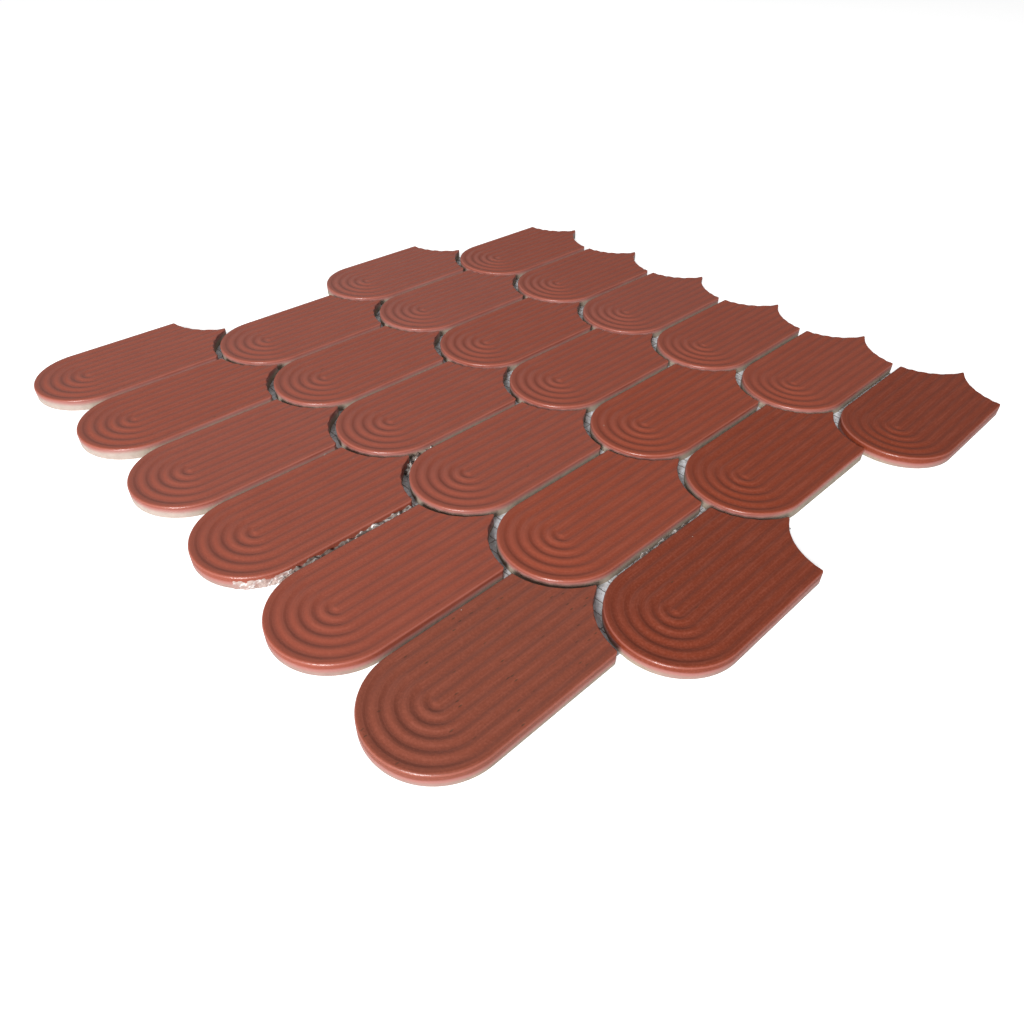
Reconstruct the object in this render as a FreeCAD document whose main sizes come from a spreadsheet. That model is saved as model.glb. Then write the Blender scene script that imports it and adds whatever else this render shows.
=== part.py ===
import FreeCAD, Part
import math
import os
import Sketcher

# Mosaic sheet of pressed ceramic scale tiles on a thin backing sheet.  All lengths in mm.
# X runs across the sheet, +Y from the round ends towards the tails, Z up from the back.
# Rows b and d sit half a pitch further to +X than rows a and c; column 1 is the +X one.

DIMENSIONS = [
    ("pitch", 46.5, "across the sheet, tile to tile in one row"),
    ("row_pitch", 72.6, "along the sheet, row to row"),
    ("joint", 2.8, "open joint between neighbouring tiles"),
    ("tile_height", 4.8, "tile, from its back to the ridge crests"),
    ("ridge_pitch", 4.07, "ridge to ridge"),
    ("wave_depth", 0.4, "ridge crest to groove bottom"),
    ("edge_radius", 0.9, "rolled upper edge of a tile"),
    ("corner_radius", 1.8, "outer tail corners in plan"),
    ("tip_radius", 1.0, "middle point of the tail in plan"),
    ("backing_height", 0.3, "glue film with glass threads under the tiles"),
    ("backing_inset", 0.7, "backing held in from the outer edge of the tiles"),
]
ROWS = "abcd"
COLUMNS = 6
CLEAR = 8.0     # degrees by which a band stops short of the last tile corner over it
LAP = 1.0       # how far bands and strips run in under the plates
GRAZE = 0.1     # how far the tail's edge cutter stands over the crests
OVER = 2.0      # how far a cutter runs on past the surface it cuts

doc = FreeCAD.newDocument("mosaic_sheet")
sheet = doc.addObject("Spreadsheet::Sheet", "Sizes")
size = {}
for spot, (name, value, words) in enumerate(DIMENSIONS, start=1):
    sheet.set("A%d" % spot, name)
    sheet.set("B%d" % spot, str(value))
    sheet.set("C%d" % spot, words)
    sheet.setAlias("B%d" % spot, name)
    size[name] = value
doc.recompute()

V = FreeCAD.Vector
Z_AXIS = V(0, 0, 1)

pitch = size["pitch"]
row_pitch = size["row_pitch"]
tile_r = (pitch - size["joint"]) / 2
bay_r = (pitch + size["joint"]) / 2
top = size["tile_height"]
wave = size["ridge_pitch"]
ridges = int((tile_r - size["edge_radius"]) / wave)     # on each side of the middle one
tip_drop = math.sqrt(bay_r ** 2 - (pitch / 2) ** 2)     # bay circles cross this far short of their middles


def line(a, b):
    return Part.LineSegment(V(a[0], a[1], 0), V(b[0], b[1], 0))


def arc3(a, m, b):
    return Part.Arc(V(a[0], a[1], 0), V(m[0], m[1], 0), V(b[0], b[1], 0))


def on_circle(centre, radius, degrees):
    t = math.radians(degrees)
    return (centre[0] + radius * math.cos(t), centre[1] + radius * math.sin(t))


def bearing(centre, point):
    return math.degrees(math.atan2(point[1] - centre[1], point[0] - centre[0]))


def towards(centre, point, length):
    dx, dy = point[0] - centre[0], point[1] - centre[1]
    s = length / math.hypot(dx, dy)
    return (centre[0] + dx * s, centre[1] + dy * s)


def arc_between(centre, radius, a, b):
    """Short arc about centre from point a to point b."""
    t0 = bearing(centre, a)
    turn = (bearing(centre, b) - t0 + 180) % 360 - 180
    return arc3(a, on_circle(centre, radius, t0 + turn / 2), b)


def closed(sketch, pieces):
    """Add pieces, which run end to end, as one closed loop."""
    sketch.addGeometry(pieces, False)


def plane(body, role):
    return [f for f in body.Origin.OriginFeatures if f.Role == role][0]


def new_sketch(body, name, role, shift=None):
    sketch = body.newObject("Sketcher::SketchObject", name)
    sketch.AttachmentSupport = [(plane(body, role), "")]
    sketch.MapMode = "FlatFace"
    if shift is not None:
        sketch.AttachmentOffset = FreeCAD.Placement(shift, FreeCAD.Rotation())
    return sketch


def wave_line():
    """Half of the ridged top, from the middle crest out to the last one, as tangent arcs."""
    a = size["wave_depth"] / 2
    q = wave / 4
    rad = (q * q + a * a) / (2 * a)
    mid = top - a
    out = []
    # each arc spans half a wave; the first and last are half arcs that start or end on a crest
    for k in range(2 * ridges + 1):
        up = k % 2 == 0
        x = k * wave / 2
        centre = (x, top - rad) if up else (x, top - 2 * a + rad)
        peak = (x, top) if up else (x, top - 2 * a)
        left = (x - q, mid) if k > 0 else peak
        right = (x + q, mid) if k < 2 * ridges else peak
        out.append(arc_between(centre, rad, left, right))
    return out


def edge_line(sign):
    """Flat land outside the last ridge and the rolled edge down to the side."""
    r = size["edge_radius"]
    land = (sign * ridges * wave, top)
    shoulder = (sign * (tile_r - r), top)
    side = (sign * tile_r, top - r)
    return [line(land, shoulder), arc_between((shoulder[0], side[1]), r, shoulder, side)]


def mirrored(pieces):
    """The same lines and arcs on the other side of the middle."""
    out = []
    for p in pieces:
        curve = p.toShape()
        ends = curve.FirstParameter, curve.LastParameter
        a, m, b = [curve.valueAt(t) for t in (ends[0], sum(ends) / 2, ends[1])]
        a, m, b = (-a.x, a.y), (-m.x, m.y), (-b.x, b.y)
        out.append(line(a, b) if isinstance(p, Part.LineSegment) else arc3(a, m, b))
    return out


def full_section(sketch):
    half = wave_line() + edge_line(1)
    closed(sketch, half + mirrored(half) + [
        line((tile_r, top - size["edge_radius"]), (tile_r, 0)),
        line((tile_r, 0), (-tile_r, 0)),
        line((-tile_r, 0), (-tile_r, top - size["edge_radius"])),
    ])


def half_section(sketch):
    closed(sketch, wave_line() + edge_line(1) + [
        line((tile_r, top - size["edge_radius"]), (tile_r, 0)),
        line((tile_r, 0), (0, 0)),
        line((0, 0), (0, top)),
    ])


def tail_points():
    """Middles of the bay, the outer corner and the tip: the right half of the tail in plan."""
    rc, rt = size["corner_radius"], size["tip_radius"]
    bay = (pitch / 2, row_pitch)
    corner = (tile_r - rc, row_pitch - math.sqrt((bay_r + rc) ** 2 - (pitch / 2 - tile_r + rc) ** 2))
    tip = (0.0, row_pitch - math.sqrt((bay_r + rt) ** 2 - (pitch / 2) ** 2))
    return bay, corner, tip


def outline(grow=0.0):
    """Plan outline of one tile as arcs and lines, round end about the origin."""
    rc, rt = size["corner_radius"], size["tip_radius"]
    bay, corner, tip = tail_points()
    r, rb, rc, rt = tile_r + grow, bay_r - grow, rc + grow, rt + grow
    side = (r, corner[1])
    c_end = towards(bay, corner, rb)
    t_end = towards(bay, tip, rb)
    left = lambda p: (-p[0], p[1])
    return [
        arc3((-r, 0), (0, -r), (r, 0)),
        line((r, 0), side),
        arc_between(corner, rc, side, c_end),
        arc_between(bay, rb, c_end, t_end),
        arc_between(tip, rt, t_end, left(t_end)),
        arc_between(left(bay), rb, left(t_end), left(c_end)),
        arc_between(left(corner), rc, left(c_end), left(side)),
        line(left(side), (-r, 0)),
    ]


def rectangle(x0, y0, x1, y1):
    return [
        line((x0, y0), (x1, y0)),
        line((x1, y0), (x1, y1)),
        line((x1, y1), (x0, y1)),
        line((x0, y1), (x0, y0)),
    ]


def place(obj, row, column, z):
    """Seat obj on the grid; the sheet's middle is the origin, in X and in Y."""
    across = (COLUMNS - 1) / 2 - column + (0.25 if row % 2 else -0.25)
    obj.setExpression("Placement.Base.x", "%g * Sizes.pitch" % across)
    obj.setExpression("Placement.Base.y", "%d * Sizes.row_pitch - Sizes.middle" % row)
    obj.setExpression("Placement.Base.z", z)


def make_tile(row, column):
    name = "tile_%s%d" % (ROWS[row], column + 1)
    body = doc.addObject("PartDesign::Body", name)
    body.Label = name

    section = new_sketch(body, "section_" + name, "XZ_Plane")
    full_section(section)
    shaft = body.newObject("PartDesign::Pad", "shaft_" + name)
    shaft.Profile = section
    shaft.Reversed = True
    shaft.setExpression("Length", "Sizes.row_pitch")

    half = new_sketch(body, "half_" + name, "XZ_Plane")
    half_section(half)
    end = body.newObject("PartDesign::Revolution", "round_end_" + name)
    end.Profile = half
    end.ReferenceAxis = (half, ["V_Axis"])
    end.Angle = 180
    end.Reversed = True

    plan = new_sketch(body, "plan_" + name, "XY_Plane")
    closed(plan, rectangle(-pitch, -pitch, pitch, row_pitch + pitch))
    closed(plan, outline())
    trim = body.newObject("PartDesign::Pocket", "trim_" + name)
    trim.Profile = plan
    trim.Reversed = True
    trim.setExpression("Length", "Sizes.tile_height * 2")

    # the tail's upper edge is rolled over too, round each of the two bays
    r = size["edge_radius"]
    for side in (1, -1):
        cut = new_sketch(body, "roll_%s_%s" % ("right" if side > 0 else "left", name), "XZ_Plane",
                         V(side * pitch / 2, 0, -row_pitch))
        foot = (bay_r, top - r + GRAZE)
        head = (bay_r + r, top + GRAZE)
        closed(cut, [
            line((0, top - r + GRAZE), foot),
            arc_between((head[0], foot[1]), r, foot, head),
            line(head, (head[0], top + OVER)),
            line((head[0], top + OVER), (0, top + OVER)),
            line((0, top + OVER), (0, foot[1])),
        ])
        groove = body.newObject("PartDesign::Groove", "groove_%s_%s" % ("r" if side > 0 else "l", name))
        groove.Profile = cut
        groove.ReferenceAxis = (cut, ["V_Axis"])
        groove.Angle = 360
    body.Tip = groove

    place(body, row, column, "Sizes.backing_height")
    return body


def flat_piece(name, pieces, row, column):
    """Thin flat solid, as high as the backing, about the middle of one tile's round end."""
    plan = doc.addObject("Sketcher::SketchObject", "plan_" + name)
    closed(plan, pieces)
    place(plan, row, column, "0 mm")
    solid = doc.addObject("Part::Extrusion", name)
    solid.Base = plan
    solid.DirMode = "Custom"
    solid.Dir = Z_AXIS
    solid.Solid = True
    solid.setExpression("LengthFwd", "Sizes.backing_height")
    return solid


def front_band(reach, t0, t1):
    """Band under the curved joint in front of a round end, from angle t0 to t1."""
    origin = (0.0, 0.0)
    inner, outer = tile_r - reach, bay_r + reach
    a, b = on_circle(origin, inner, t0), on_circle(origin, inner, t1)
    c, d = on_circle(origin, outer, t1), on_circle(origin, outer, t0)
    return [arc_between(origin, inner, a, b), line(b, c), arc_between(origin, outer, c, d), line(d, a)]


def make_backing():
    """One thin sheet: a plate under each tile, joined by bands under every joint."""
    inset = size["backing_inset"]
    reach = inset + LAP
    tip = bearing((pitch / 2, tip_drop), (0, 0))
    pieces = []
    for row in range(len(ROWS)):
        for column in range(COLUMNS):
            tag = "%s%d" % (ROWS[row], column + 1)
            pieces.append(flat_piece("plate_" + tag, outline(-inset), row, column))
            if column < COLUMNS - 1:
                low = -tip_drop - reach if row else 0.0
                half = size["joint"] / 2 + reach
                strip = rectangle(-pitch / 2 - half, low, -pitch / 2 + half, row_pitch - bay_r - inset)
                pieces.append(flat_piece("strip_" + tag, strip, row, column))
            if row:
                # the end tile that overhangs the row before it has a neighbour on one side only
                t0, t1 = tip % 360, 540 - tip % 360
                if row % 2 and column == 0:
                    t1 = 270.0 - CLEAR
                if row % 2 == 0 and column == COLUMNS - 1:
                    t0 = 270.0 + CLEAR
                pieces.append(flat_piece("band_" + tag, front_band(reach, t0, t1), row, column))
    backing = doc.addObject("Part::MultiFuse", "backing_sheet")
    backing.Label = "backing_sheet"
    backing.Shapes = pieces
    backing.Refine = True
    return backing


# half the sheet's length, less the front tiles' half width: where row a's round ends have their middles
tip_end = tail_points()[2][1] + size["tip_radius"]
last = len(DIMENSIONS) + 1
sheet.set("A%d" % last, "middle")
sheet.set("B%d" % last, str(((len(ROWS) - 1) * row_pitch + tip_end - tile_r) / 2))
sheet.setAlias("B%d" % last, "middle")
doc.recompute()

made = [make_backing()]
for row in range(len(ROWS)):
    for column in range(COLUMNS):
        made.append(make_tile(row, column))
doc.recompute()

for obj in doc.Objects:
    if "Invalid" in obj.State or "Error" in obj.State:
        raise RuntimeError("%s did not build: %s" % (obj.Label, obj.State))
os.makedirs("parts", exist_ok=True)
for obj in made:
    shape = obj.Shape
    if shape.isNull() or not shape.isValid() or len(shape.Solids) != 1:
        raise RuntimeError("%s has no single sound solid" % obj.Label)
    shape.exportStep("parts/%s.step" % obj.Label)
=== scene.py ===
import math

import bpy
from mathutils import Matrix, Vector, noise


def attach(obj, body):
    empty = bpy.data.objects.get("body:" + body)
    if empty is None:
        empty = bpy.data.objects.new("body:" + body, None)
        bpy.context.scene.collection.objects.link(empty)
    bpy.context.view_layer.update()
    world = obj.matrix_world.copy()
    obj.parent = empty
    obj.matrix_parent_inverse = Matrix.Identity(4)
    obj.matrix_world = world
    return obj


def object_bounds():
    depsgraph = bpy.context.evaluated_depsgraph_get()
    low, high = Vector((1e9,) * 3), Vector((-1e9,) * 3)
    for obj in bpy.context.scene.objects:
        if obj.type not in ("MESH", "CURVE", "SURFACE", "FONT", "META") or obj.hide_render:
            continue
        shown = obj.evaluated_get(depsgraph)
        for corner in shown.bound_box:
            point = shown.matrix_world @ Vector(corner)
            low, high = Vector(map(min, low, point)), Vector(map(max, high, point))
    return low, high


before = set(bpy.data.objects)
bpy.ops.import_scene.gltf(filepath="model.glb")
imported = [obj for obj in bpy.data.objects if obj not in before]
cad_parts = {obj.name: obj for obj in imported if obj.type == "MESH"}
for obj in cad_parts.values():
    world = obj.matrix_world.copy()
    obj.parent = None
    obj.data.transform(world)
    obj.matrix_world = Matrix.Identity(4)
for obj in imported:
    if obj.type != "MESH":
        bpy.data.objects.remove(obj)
cad_low, cad_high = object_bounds()

# The sheet in metres: the same sizes as the solids.
MM = 0.001
PITCH = 46.5 * MM  # tile to tile in a row
ROW_PITCH = 72.6 * MM  # row to row
JOINT = 2.8 * MM  # open joint between tiles
TOP = 5.1 * MM  # height of the ridges over the underside
BACK = 0.3 * MM  # thickness of the backing
WAVE_DEPTH = 0.4 * MM  # ridge to groove
TILE_R = (PITCH - JOINT) / 2  # half a tile's width, and its round end
BAY_R = (PITCH + JOINT) / 2  # hollow arcs of its tail
TIP_R = 1.0 * MM  # rounding of the tail's middle point
TIP_Y = ROW_PITCH - math.sqrt((BAY_R + TIP_R) ** 2 - (PITCH / 2) ** 2) + TIP_R
TIP_DROP = math.sqrt(BAY_R ** 2 - (PITCH / 2) ** 2)
INSET = 0.7 * MM  # the backing stays this far inside the tiles' outer edges
ROWS, COLUMNS = "abcd", 6
MIDDLE = ((len(ROWS) - 1) * ROW_PITCH + TIP_Y - TILE_R) / 2  # round ends of row a to mid-sheet

# Glaze: fired colours, some mixed with painted light, and what the sides and the specks show.
RED_DARK, RED_LIGHT = (0.230, 0.037, 0.013), (0.284, 0.049, 0.018)
RED_CREST = (0.312, 0.060, 0.024)
RED_DUSTY, RED_STREAK = (0.40, 0.115, 0.070), (0.40, 0.120, 0.078)
RED_GRIT = (0.095, 0.018, 0.010)
# the second colour, the pale rolled edge, is thinner glaze there and a painted highlight
RED_THIN, RIM_PALE_AND_HIGHLIGHT = (0.39, 0.165, 0.145), (0.52, 0.21, 0.17)
# darker and paler tile tones: the tiles' own tone, with painted shade and painted sheen across the
# sheet
DEEP_TONE_AND_SHADE, PALE_TONE_AND_SHEEN = (0.140, 0.022, 0.007), (0.305, 0.118, 0.098)
DULL, DULL_AMOUNT = (0.165, 0.066, 0.046), 0.42
PIT_BROWN, SPECK_WHITE = (0.060, 0.036, 0.018), (0.80, 0.74, 0.68)
# biscuit of the sides in the joints, darkened with painted shade
SHADED_JOINT_BISCUIT = (0.22, 0.180, 0.138), (0.42, 0.350, 0.275)
PINK_BISCUIT = (0.27, 0.175, 0.150), (0.38, 0.260, 0.225)
PALE_BISCUIT = (0.36, 0.285, 0.245), (0.50, 0.415, 0.365)
PINK_LINE = 2.4  # mm: below this glaze line an open side is the pink biscuit


def seat(row, column):
    """Middle of a tile's round end. Rows b and d sit half a pitch further to +X."""
    stagger = 0.25 if row % 2 else -0.25
    across = (COLUMNS - 1) / 2 - column + stagger
    return across * PITCH, row * ROW_PITCH - MIDDLE


def label(row, column):
    """Such as a1: rows from the front, columns from +X."""
    return "%s%d" % (ROWS[row], column + 1)


# ---------------------------------------------------------------- materials
def new_material(name):
    mat = bpy.data.materials.new(name)
    mat.use_nodes = True
    nt = mat.node_tree
    shader = nt.nodes["Principled BSDF"]
    return mat, nt, shader


class Graph:
    """Short names for the few node kinds the materials use."""

    def __init__(self, nt):
        self.nt = nt

    def put(self, socket, value):
        """Link value to the socket, or set it there."""
        if isinstance(value, bpy.types.NodeSocket):
            self.nt.links.new(value, socket)
        elif isinstance(value, tuple) and len(value) == 3 and len(socket.default_value) == 4:
            socket.default_value = (*value, 1)
        elif socket.type == "RGBA":
            socket.default_value = (value, value, value, 1)
        else:
            socket.default_value = value

    def math(self, op, a, b=0.0, clamp=False):
        n = self.nt.nodes.new("ShaderNodeMath")
        n.operation, n.use_clamp = op, clamp
        self.put(n.inputs[0], a)
        self.put(n.inputs[1], b)
        return n.outputs[0]

    def ramp(self, value, low, high, out_low=0.0, out_high=1.0):
        """Eased from out_low to out_high as value goes from low to high."""
        n = self.nt.nodes.new("ShaderNodeMapRange")
        n.interpolation_type = "SMOOTHSTEP"
        self.put(n.inputs["Value"], value)
        self.put(n.inputs["From Min"], low)
        self.put(n.inputs["From Max"], high)
        self.put(n.inputs["To Min"], out_low)
        self.put(n.inputs["To Max"], out_high)
        return n.outputs["Result"]

    def mix(self, factor, a, b):
        """a where factor is 0, b where it is 1."""
        n = self.nt.nodes.new("ShaderNodeMix")
        n.data_type = "RGBA"
        colour_a, colour_b, colour_out = 6, 7, 2
        self.put(n.inputs["Factor"], factor)
        self.put(n.inputs[colour_a], a)
        self.put(n.inputs[colour_b], b)
        return n.outputs[colour_out]

    def times(self, a, b, clamp=False):
        return self.math("MULTIPLY", a, b, clamp)

    def plus(self, a, b):
        return self.math("ADD", a, b)

    def minus(self, a, b):
        return self.math("SUBTRACT", a, b)

    def place(self):
        return self.nt.nodes.new("ShaderNodeTexCoord").outputs["Object"]

    def moved(self, vector, shift, scale=(1, 1, 1)):
        n = self.nt.nodes.new("ShaderNodeMapping")
        self.put(n.inputs["Vector"], vector)
        self.put(n.inputs["Location"], shift)
        self.put(n.inputs["Scale"], scale)
        return n.outputs["Vector"]

    def noise(self, vector, scale, detail=3.0, rough=0.5):
        n = self.nt.nodes.new("ShaderNodeTexNoise")
        self.put(n.inputs["Vector"], vector)
        self.put(n.inputs["Scale"], scale)
        self.put(n.inputs["Detail"], detail)
        self.put(n.inputs["Roughness"], rough)
        return n.outputs["Fac"]

    def cells(self, vector, scale):
        """Flat cells: how far it is to a cell's own point, and the cell's own random colour."""
        n = self.nt.nodes.new("ShaderNodeTexVoronoi")
        n.voronoi_dimensions = "2D"
        self.put(n.inputs["Vector"], vector)
        self.put(n.inputs["Scale"], scale)
        return n.outputs["Distance"], n.outputs["Color"]

    def split(self, vector):
        n = self.nt.nodes.new("ShaderNodeSeparateXYZ")
        self.put(n.inputs[0], vector)
        return n.outputs

    def join(self, x, y, z):
        n = self.nt.nodes.new("ShaderNodeCombineXYZ")
        for socket, value in zip(n.inputs, (x, y, z)):
            self.put(socket, value)
        return n.outputs[0]

    def bump(self, height, strength, distance):
        n = self.nt.nodes.new("ShaderNodeBump")
        self.put(n.inputs["Strength"], strength)
        self.put(n.inputs["Distance"], distance)
        self.put(n.inputs["Height"], height)
        return n.outputs["Normal"]


def glaze(name, middle, tint, amount, line, open_side, pits, specks):
    """Matt red glaze over pale biscuit, on one tile.

    middle is the middle of its round end. tint is the colour it is mixed towards, by amount: the
    tile's own tone, with painted shade on the +X tiles and painted sheen towards -X.
    line is how high its glaze stops on the sides, in mm. open_side, "front", "right" or "", is
    where its side is the lighter open biscuit; elsewhere the biscuit is darker, with painted shade
    for the joints. pits and specks are the share of cells with a dark dash or a white dot.
    """
    mat, nt, shader = new_material(name)
    g = Graph(nt)
    raw = g.place()
    at = g.moved(raw, (middle[0] * 3.1, middle[1] * 5.3, line * 7.7))
    x, y, z = g.split(raw)
    facing = g.split(nt.nodes.new("ShaderNodeNewGeometry").outputs["Normal"])[2]

    # how far a point lies from the tile's spine, and how far along it: the ridges follow this
    turn = 8 * MM  # length along the spine given to a radian round the end
    side_shift = 40 * MM  # keeps the two sides' streaks apart
    stretch = 0.035  # streaks are this much finer across than along
    out_x = g.minus(x, middle[0])
    out_y = g.minus(y, middle[1])
    ahead = g.math("MINIMUM", out_y, 0.0)
    out = g.math("SQRT", g.plus(g.times(out_x, out_x), g.times(ahead, ahead)))
    around = g.times(g.math("ARCTAN2", ahead, out_x), turn)
    along = g.plus(g.math("MAXIMUM", out_y, 0.0), around)
    hand = g.times(g.math("SIGN", out_x), side_shift)
    lines = g.noise(g.join(out, g.times(along, stretch), hand), 1500.0, 2.0, 0.6)

    # colour: broad clouds, paler crests, the tile's own tone with painted shade and painted sheen
    # mixed in, then grain, grit and streaks
    broad = g.noise(at, 70.0, 3.0)
    grain = g.noise(at, 1500.0, 2.0, 0.6)
    fine = g.noise(at, 3600.0, 1.0, 0.6)
    crest = g.ramp(z, TOP - WAVE_DEPTH, TOP)
    red = g.mix(broad, RED_DARK, RED_LIGHT)
    red = g.mix(g.times(crest, 0.30), red, RED_CREST)
    red = g.mix(amount, red, tint)
    red = g.mix(g.ramp(grain, 0.42, 0.72, 0.0, 0.20), red, RED_DUSTY)
    red = g.mix(g.ramp(fine, 0.50, 0.72, 0.0, 0.16), red, RED_GRIT)
    red = g.mix(g.ramp(lines, 0.45, 0.72, 0.0, 0.19), red, RED_STREAK)

    def dots(scale, seed, squeeze, share, near, far):
        """Spots in a share of the cells, fading from near to far, long in Y when squeeze < 1."""
        spot, tone = g.cells(g.moved(raw, seed, (1, squeeze, 1)), scale)
        rare = g.ramp(g.split(tone)[0], 1.0 - share, 1.001 - share)
        return g.times(g.ramp(spot, near, far, 1.0, 0.0), rare, True)

    pit = dots(520.0, (0.013, 0.021, 0.0), 0.28, pits, 0.04, 0.14)
    pit = g.times(pit, g.ramp(g.noise(at, 60.0, 1.0), 0.42, 0.56))
    red = g.mix(g.times(pit, 0.65), red, PIT_BROWN)
    red = g.mix(dots(330.0, (0.031, 0.007, 0.0), 0.8, specks, 0.03, 0.06), red, SPECK_WHITE)

    # pale over the rolled edge: the glaze thinner there, and a painted highlight along the rim
    rolled = g.times(g.ramp(facing, 0.20, 0.50), g.ramp(facing, 0.72, 0.90, 1.0, 0.0))
    rim = g.times(rolled, g.ramp(z, TOP - 1.0 * MM, TOP - 0.7 * MM))
    red = g.mix(g.times(rim, 0.30), red, RIM_PALE_AND_HIGHLIGHT)

    # the glaze stops a little way down the sides, thin and pink at its edge
    wander = g.noise(at, 55.0, 2.0)
    edge = g.plus(g.times(g.minus(wander, 0.5), 1.6 * MM), line * MM)
    over = g.minus(z, edge)
    on_side = g.ramp(facing, 0.35, 0.75, 1.0, 0.0)
    thin = g.times(g.ramp(over, 0.6 * MM, 1.7 * MM, 1.0, 0.0), on_side)
    bare = g.times(g.ramp(over, -1.1 * MM, 0.9 * MM, 1.0, 0.0), on_side)

    # below it is biscuit: darker in the joints with painted shade, lighter on the sheet's open sides
    mottle = g.noise(at, 420.0, 4.0)
    body = g.mix(mottle, *SHADED_JOINT_BISCUIT)
    if open_side:
        open_biscuit = g.mix(mottle, *(PINK_BISCUIT if line < PINK_LINE else PALE_BISCUIT))
        inward = out_y if open_side == "front" else g.times(out_x, -1.0)
        body = g.mix(g.ramp(inward, -14 * MM, -3 * MM), open_biscuit, body)
    colour = g.mix(g.times(thin, 0.85), red, RED_THIN)
    colour = g.mix(bare, colour, body)
    g.put(shader.inputs["Base Color"], colour)

    # glossier on the rim, dull on the biscuit, and a grainy skin
    rim_gloss, bare_gloss = 0.24, 0.85
    sheen = g.mix(rim, g.ramp(grain, 0.3, 0.7, 0.48, 0.60), rim_gloss)
    g.put(shader.inputs["Roughness"], g.mix(bare, sheen, bare_gloss))
    shader.inputs["Specular IOR Level"].default_value = 0.34
    skin = g.plus(g.times(grain, 0.6), g.times(fine, 0.3))
    skin = g.plus(skin, g.times(lines, 0.38))
    skin = g.minus(skin, g.times(pit, 0.9))
    g.put(shader.inputs["Normal"], g.bump(skin, 0.6, 0.16 * MM))
    return mat


def glue_film():
    """Thin milky film of glue over the mesh, wet-looking, with hairline cracks."""
    mat, nt, shader = new_material("glue_film")
    g = Graph(nt)
    at = g.place()
    cloudy = g.noise(at, 210.0, 3.0, 0.6)
    grit = g.noise(at, 1400.0, 3.0, 0.6)
    colour = g.mix(g.ramp(cloudy, 0.35, 0.65), (0.60, 0.61, 0.62), (0.88, 0.92, 0.97))
    colour = g.mix(g.ramp(grit, 0.5, 0.75, 0.0, 0.4), colour, (0.92, 0.93, 0.94))
    bent = g.noise(at, 330.0, 2.0)
    crack = g.ramp(g.math("ABSOLUTE", g.minus(bent, 0.5)), 0.003, 0.012, 0.5, 0.0)
    colour = g.mix(crack, colour, (0.13, 0.10, 0.08))
    g.put(shader.inputs["Base Color"], colour)
    g.put(shader.inputs["Roughness"], g.ramp(grit, 0.3, 0.7, 0.14, 0.34))
    skin = g.plus(cloudy, g.times(grit, 0.4))
    g.put(shader.inputs["Normal"], g.bump(skin, 0.6, 0.35 * MM))
    return mat


def glue_crystal(name, dark, pale, white):
    """Clear glue that dried lumpy: dark where it is deep, with white curls that are partly broken
    glue and partly painted highlights.
    """
    mat, nt, shader = new_material(name)
    g = Graph(nt)
    at = g.place()
    drawn = g.moved(at, (0.4, 0.2, 0.0), (1, 0.5, 1))
    lumps = g.noise(drawn, 330.0, 2.0, 0.5)
    bent = g.noise(drawn, 430.0, 1.0)
    grit = g.noise(at, 1500.0, 2.0, 0.6)
    # white curls: broken edges of the glue, and painted highlights on it
    curl_and_highlight = g.ramp(g.math("ABSOLUTE", g.minus(bent, 0.5)), 0.010, 0.055, 1.0, 0.0)
    curl_and_highlight = g.times(curl_and_highlight, g.ramp(lumps, 0.40, 0.55), True)
    colour = g.mix(g.ramp(lumps, 0.36, 0.64), dark, pale)
    colour = g.mix(curl_and_highlight, colour, white)
    g.put(shader.inputs["Base Color"], colour)
    g.put(shader.inputs["Roughness"], g.ramp(grit, 0.3, 0.7, 0.22, 0.42))
    skin = g.plus(lumps, g.times(curl_and_highlight, 0.5))
    g.put(shader.inputs["Normal"], g.bump(skin, 0.7, 0.5 * MM))
    return mat


def thread_glass():
    """Dull strands of glass fibre."""
    mat, nt, shader = new_material("glass_thread")
    g = Graph(nt)
    strands = g.noise(g.moved(g.place(), (0, 0, 0), (1, 1, 4)), 3200.0, 2.0)
    g.put(shader.inputs["Base Color"], g.mix(strands, (0.10, 0.085, 0.075), (0.24, 0.21, 0.19)))
    g.put(shader.inputs["Roughness"], g.ramp(strands, 0.3, 0.7, 0.35, 0.6))
    g.put(shader.inputs["Normal"], g.bump(strands, 0.5, 0.08 * MM))
    return mat


# ---------------------------------------------------------------- shapes
def inside_tile(x, y, row, column, grow):
    """Is the point inside the tile's plan, grown by grow?"""
    cx, cy = seat(row, column)
    dx, dy = abs(x - cx), y - cy
    if dx > TILE_R + grow or dy > TIP_Y + grow or dy < -TILE_R - grow:
        return False
    if dy < 0:
        return math.hypot(dx, dy) < TILE_R + grow
    return math.hypot(dx - PITCH / 2, dy - ROW_PITCH) > BAY_R - grow


def near_tiles(x, y):
    """The tiles that a point may lie in."""
    margin = 4 * MM
    for row in range(len(ROWS)):
        if not -TILE_R - margin < y - seat(row, 0)[1] < TIP_Y + margin:
            continue
        for column in range(COLUMNS):
            if abs(x - seat(row, column)[0]) < PITCH / 2 + margin:
                yield row, column


def over_backing(x, y):
    """Over one of the strips and bands of the backing that run under the joints."""
    reach = INSET + 1 * MM
    past_tip = 3.3 * MM
    for row in range(len(ROWS)):
        dy = y - seat(row, 0)[1]
        if not -BAY_R - reach < dy < ROW_PITCH - BAY_R - INSET:
            continue
        low = -TIP_DROP - reach if row else 0.0
        end = 0 if row % 2 else COLUMNS - 1
        for column in range(COLUMNS):
            dx = x - seat(row, column)[0]
            in_strip = abs(dx + PITCH / 2) < JOINT / 2 + reach
            if column < COLUMNS - 1 and in_strip and dy > low:
                return True
            in_band = TILE_R - reach < math.hypot(dx, dy) < BAY_R + reach
            if row == 0 or dy > -TIP_DROP or not in_band or abs(dx) > PITCH / 2:
                continue
            overhang = column == end and (dx if row % 2 else -dx) > -past_tip
            if not overhang:
                return True
    return False


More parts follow.
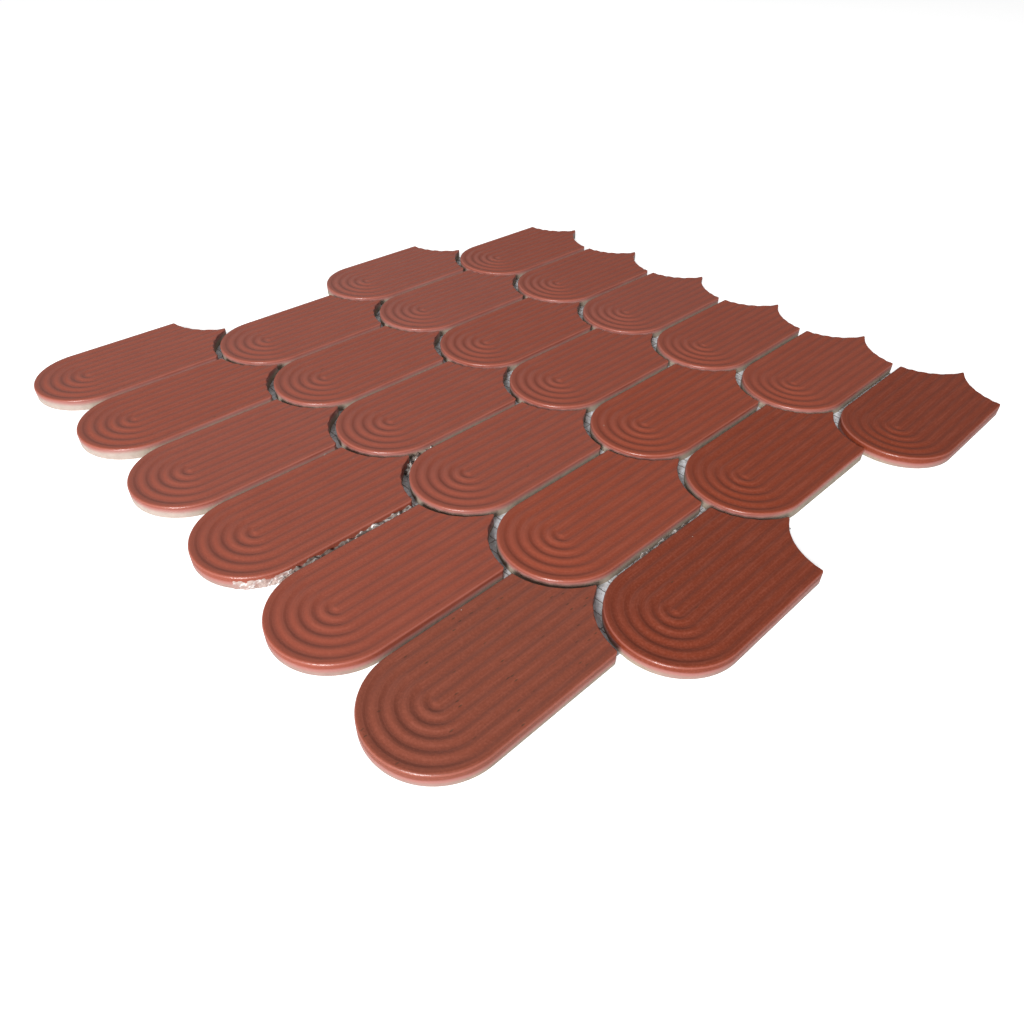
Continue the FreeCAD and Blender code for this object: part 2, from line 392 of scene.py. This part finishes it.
def in_joint(x, y, grow=-0.15 * MM):
    """Over the backing and in no tile, with every tile's plan grown by grow."""
    if not over_backing(x, y):
        return False
    return not any(inside_tile(x, y, row, column, grow) for row, column in near_tiles(x, y))


def add_mesh(name, verts, faces, mat):
    mesh = bpy.data.meshes.new(name)
    mesh.from_pydata(verts, [], faces)
    mesh.update()
    obj = bpy.data.objects.new(name, mesh)
    bpy.context.scene.collection.objects.link(obj)
    mesh.materials.append(mat)
    for p in mesh.polygons:
        p.use_smooth = True
    return obj


def dress(node, mat):
    node.data.materials.clear()
    node.data.materials.append(mat)


def film_height(x, y):
    """Height of the wavy glue film over the sheet's underside."""
    p = Vector((x, y, 0.0)) / MM
    h = 0.14 + 0.20 * noise.noise(p * 0.45) + 0.12 * noise.noise(p * 1.7)
    return BACK + max(0.03, h) * MM


# joints where glue was squeezed up: row and column of the tile on the -X side, where it starts
# and ends in mm from the middle of its round end, and how much
LUMPY = [
    (0, 2, -9.0, 49.0, 1.0),
    (0, 3, 36.0, 50.0, 0.75),
    (0, 3, 4.0, 14.0, 0.45),
    (1, 1, 12.0, 42.0, 0.34),
    (1, 4, 30.0, 40.0, 0.7),
    (2, 3, 20.0, 30.0, 0.5),
]


def lump_height(x, y):
    """Height of squeezed-up glue over the sheet's underside, or None where there is none."""
    p = Vector((x, y, 0.0)) / MM
    taper = 3.0
    least = 0.7
    best = 0.0
    for row, column, start, end, amount in LUMPY:
        cx, cy = seat(row, column)
        along = (y - cy) / MM
        if abs(x - cx - PITCH / 2) < 5 * MM and start < along < end:
            fade = min(1.0, (along - start) / taper, (end - along) / taper)
            drawn = Vector((p.x, p.y * 0.55, 0.0))
            rough = noise.noise(drawn * 0.45 + Vector((7.0, 0, 0))) + 0.65 * noise.noise(drawn * 1.1)
            best = max(best, fade * (amount * 2.9 + 1.5 * rough * amount ** 0.5))
    # the curved gap beside the round end of tile b3
    cx, cy = seat(1, 2)
    dx, dy = (x - cx) / MM, (y - cy) / MM
    if 18 < math.hypot(dx, dy) < 26 and dx < 0 and -15 < dy < 4:
        rough = noise.noise(p * 0.5 + Vector((3.0, 0, 0))) + 0.6 * noise.noise(p * 1.3)
        best = max(best, 1.6 + 2.2 * rough)
    if best < least:
        return None
    below_top = 0.35 * MM
    return BACK + min(best * MM, TOP - BACK - below_top)


def joint_cells(name, mat, step, height, grow):
    """A rough skin over the joints, wherever height gives one, in cells step wide."""
    skirt = BACK * 0.9  # its edges run down into the backing
    nx = int((cad_high[0] - cad_low[0]) / step) + 1
    ny = int((cad_high[1] - cad_low[1]) / step) + 1
    index, verts, faces = {}, [], []

    def corner(i, j):
        if (i, j) not in index:
            x, y = cad_low[0] + i * step, cad_low[1] + j * step
            index[(i, j)] = len(verts)
            z = height(x, y)
            verts.append((x, y, skirt if z is None else z))
        return index[(i, j)]

    for i in range(nx):
        for j in range(ny):
            x, y = cad_low[0] + (i + 0.5) * step, cad_low[1] + (j + 0.5) * step
            if height(x, y) is not None and in_joint(x, y, grow):
                near_side = corner(i, j), corner(i + 1, j)
                far_side = corner(i + 1, j + 1), corner(i, j + 1)
                faces.append(near_side + far_side)
    return add_mesh(name, verts, faces, mat)


def side_crust(mat):
    """Glue run out of the lumpy joint over the side of tile a3's round end."""
    cx, cy = seat(0, 2)
    verts, faces = [], []
    around, tall = 150, 18
    first, sweep = -52, 54  # degrees round the end, from +X
    sunk, thick = 0.12 * MM, 0.85 * MM
    reach_up = TOP - 1.0 * MM - BACK
    for i in range(around + 1):
        t = math.radians(first + sweep * i / around)
        for j in range(tall + 1):
            z = BACK * 0.5 + reach_up * j / tall
            p = Vector((TILE_R * t, z, 3 * MM)) / MM
            ends = min(1.0, i / 12, (around - i) / 6)
            upper = min(1.0, (tall - j) / 7)
            lumpy = 0.8 * noise.noise(p * 0.42) + 0.4 * noise.noise(p * 1.1)
            rough = max(0.0, min(1.0, 0.30 + 0.30 * i / around + lumpy))
            r = TILE_R - sunk + rough * ends * upper * thick
            verts.append((cx + r * math.cos(t), cy + r * math.sin(t), z))
    for i in range(around):
        for j in range(tall):
            a = i * (tall + 1) + j
            faces.append((a, a + tall + 1, a + tall + 2, a + 1))
    return add_mesh("side_crust", verts, faces, mat)


def threads(mat):
    """Glass threads of the backing mesh where they show in the joints."""
    gap, step, half = 4.2 * MM, 0.5 * MM, 0.13 * MM
    section = (-half, 0.14 * MM), (0, -0.06 * MM), (half, 0.14 * MM)  # how far aside, how far down
    verts, faces = [], []

    def run(points, across):
        """One thread through points, as a low ridge across that direction."""
        base = len(verts)
        for k, (x, y) in enumerate(points):
            lift = film_height(x, y) + 0.12 * MM
            wave = 0.06 * MM * math.sin(k * 1.9)
            for aside, drop in section:
                shift = aside + wave
                verts.append((x + across[0] * shift, y + across[1] * shift, lift - drop))
            if k:
                a = base + 3 * (k - 1)
                faces.append((a, a + 1, a + 4, a + 3))
                faces.append((a + 1, a + 2, a + 5, a + 4))

    for axis in (0, 1):
        other = 1 - axis
        spacing = gap if axis == 0 else 3 * gap  # fewer of those along Y show
        count = int((cad_high[other] - cad_low[other]) / spacing)
        for n in range(1, count + 1):
            fixed = cad_low[other] + n * spacing
            points, t = [], cad_low[axis]
            while t < cad_high[axis]:
                point = (t, fixed) if axis == 0 else (fixed, t)
                if in_joint(*point):
                    points.append(point)
                else:
                    if len(points) > 1:
                        run(points, (0, 1) if axis == 0 else (1, 0))
                    points = []
                t += step
    return add_mesh("mesh_threads", verts, faces, mat)


# ---------------------------------------------------------------- dress the tiles
FIRST_COLUMN_SHADE = (0.0, 0.74, 0.50, 0.62)  # how much darker each row starts at +X: painted shade
LINE, LINE_DROP = 3.1, 1.4  # mm: usual glaze line, and how much lower it is on some open sides
PLAIN_PITS, PLAIN_SPECKS = 0.006, 0.0008
SPECKLED = {"a1": (0.24, PLAIN_SPECKS), "b1": (PLAIN_PITS, 0.006)}
for row in range(len(ROWS)):
    for column in range(COLUMNS):
        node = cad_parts["tile_" + label(row, column)]
        seed = Vector((row * 3.7 + 0.3, column * 2.9 + 0.6, 0.5))
        # the tile's own random tone, made paler towards -X as painted sheen, and darker in the +X
        # column of rows b to d as painted shade
        tone_and_painted_light = 0.12 * noise.noise(seed) - 0.155 - 0.030 * column
        tone_and_painted_light += FIRST_COLUMN_SHADE[row] * math.exp(-column / 0.55)
        tint, amount = (DEEP_TONE_AND_SHADE, tone_and_painted_light) if tone_and_painted_light > 0 else (PALE_TONE_AND_SHEEN, -tone_and_painted_light)
        if (row, column) == (0, 0):
            tint, amount = DULL, DULL_AMOUNT
        outer = row % 2 == 1 and column == 0
        open_side = "front" if row == 0 else "right" if outer else ""
        line = LINE + 0.5 * noise.noise(seed + Vector((0, 9.0, 0)))
        if outer or (row == 0 and column < 3):
            line -= LINE_DROP
        pits, specks = SPECKLED.get(label(row, column), (PLAIN_PITS, PLAIN_SPECKS))
        name = "glaze_" + label(row, column)
        mat = glaze(name, seat(row, column), tint, amount, line, open_side, pits, specks)
        dress(node, mat)

film = glue_film()
dress(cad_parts["backing_sheet"], film)
crystal = glue_crystal("glue_crystal", (0.12, 0.085, 0.070), (0.26, 0.22, 0.195), (0.60, 0.58, 0.56))
crust = glue_crystal("glue_crust", (0.34, 0.21, 0.185), (0.46, 0.36, 0.32), (0.70, 0.65, 0.63))
joint_film = joint_cells("joint_glue", film, 0.5 * MM, film_height, -0.35 * MM)
lumps = joint_cells("glue_lumps", crystal, 0.25 * MM, lump_height, -0.2 * MM)
for piece in (joint_film, lumps, side_crust(crust), threads(thread_glass())):
    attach(piece, "root")

# ---------------------------------------------------------------- stage, light, camera
floor_mat, floor_nt, floor_shader = new_material("floor_white")
fg = Graph(floor_nt)
floor_white = fg.mix(fg.noise(fg.place(), 30.0), (0.90, 0.90, 0.90), (0.92, 0.92, 0.92))
fg.put(floor_shader.inputs["Base Color"], floor_white)
floor_shader.inputs["Roughness"].default_value = 0.9
seen = floor_nt.nodes.new("ShaderNodeLightPath").outputs["Is Camera Ray"]
floor_shader.inputs["Emission Color"].default_value = (1, 1, 1, 1)
fg.put(floor_shader.inputs["Emission Strength"], fg.times(seen, 0.62))
floor_shader.inputs["Specular IOR Level"].default_value = 0.1
WIDE = 6
corners = [(-WIDE, -WIDE, 0), (WIDE, -WIDE, 0), (WIDE, WIDE, 0), (-WIDE, WIDE, 0)]
floor = add_mesh("floor", corners, [(0, 1, 2, 3)], floor_mat)

world = bpy.data.worlds.new("studio")
bpy.context.scene.world = world
world.use_nodes = True
sky = world.node_tree.nodes["Background"]
sky.inputs["Color"].default_value = (1.0, 1.0, 1.0, 1)
sky.inputs["Strength"].default_value = 0.27


def lamp(name, spot, aim, size, power):
    """A square area lamp at spot, turned towards aim."""
    data = bpy.data.lights.new(name, "AREA")
    data.shape, data.size, data.energy = "SQUARE", size, power
    obj = bpy.data.objects.new(name, data)
    bpy.context.scene.collection.objects.link(obj)
    obj.location = spot
    obj.rotation_euler = (Vector(aim) - Vector(spot)).to_track_quat("-Z", "Y").to_euler()


lamp("key_front", (0.78, -1.56, 0.84), (0, 0, 0), 0.60, 51.0)
lamp("fill_left", (-0.85, 0.30, 0.60), (-0.05, 0, 0), 0.90, 1.4)

# the camera looks at a point on the sheet, from REACH away
AZIMUTH, ELEVATION, ROLL = math.radians(45.585), math.radians(39.794), math.radians(0.960)
REACH = 5.8698 * PITCH
TARGET = Vector((1.2334 * PITCH, 1.5594 * PITCH - MIDDLE, 0))
LENS_SHARE = 777.5 / 1024  # focal length over picture width
SENSOR = 36.0
level = math.cos(ELEVATION)
back = Vector((math.sin(AZIMUTH) * level, -math.cos(AZIMUTH) * level, math.sin(ELEVATION)))
right = Vector((math.cos(AZIMUTH), math.sin(AZIMUTH), 0))
up = back.cross(right)
across = right * math.cos(ROLL) + up * math.sin(ROLL)
above = up * math.cos(ROLL) - right * math.sin(ROLL)
cam_data = bpy.data.cameras.new("camera")
cam_data.sensor_width = SENSOR
cam_data.lens = LENS_SHARE * SENSOR
cam_data.clip_start, cam_data.clip_end = 0.01, 50.0
cam = bpy.data.objects.new("camera", cam_data)
bpy.context.scene.collection.objects.link(cam)
turned = Matrix((across, above, back)).transposed().to_4x4()
cam.matrix_world = Matrix.Translation(TARGET + back * REACH) @ turned
bpy.context.scene.camera = cam
bpy.context.scene.view_settings.view_transform = "Standard"
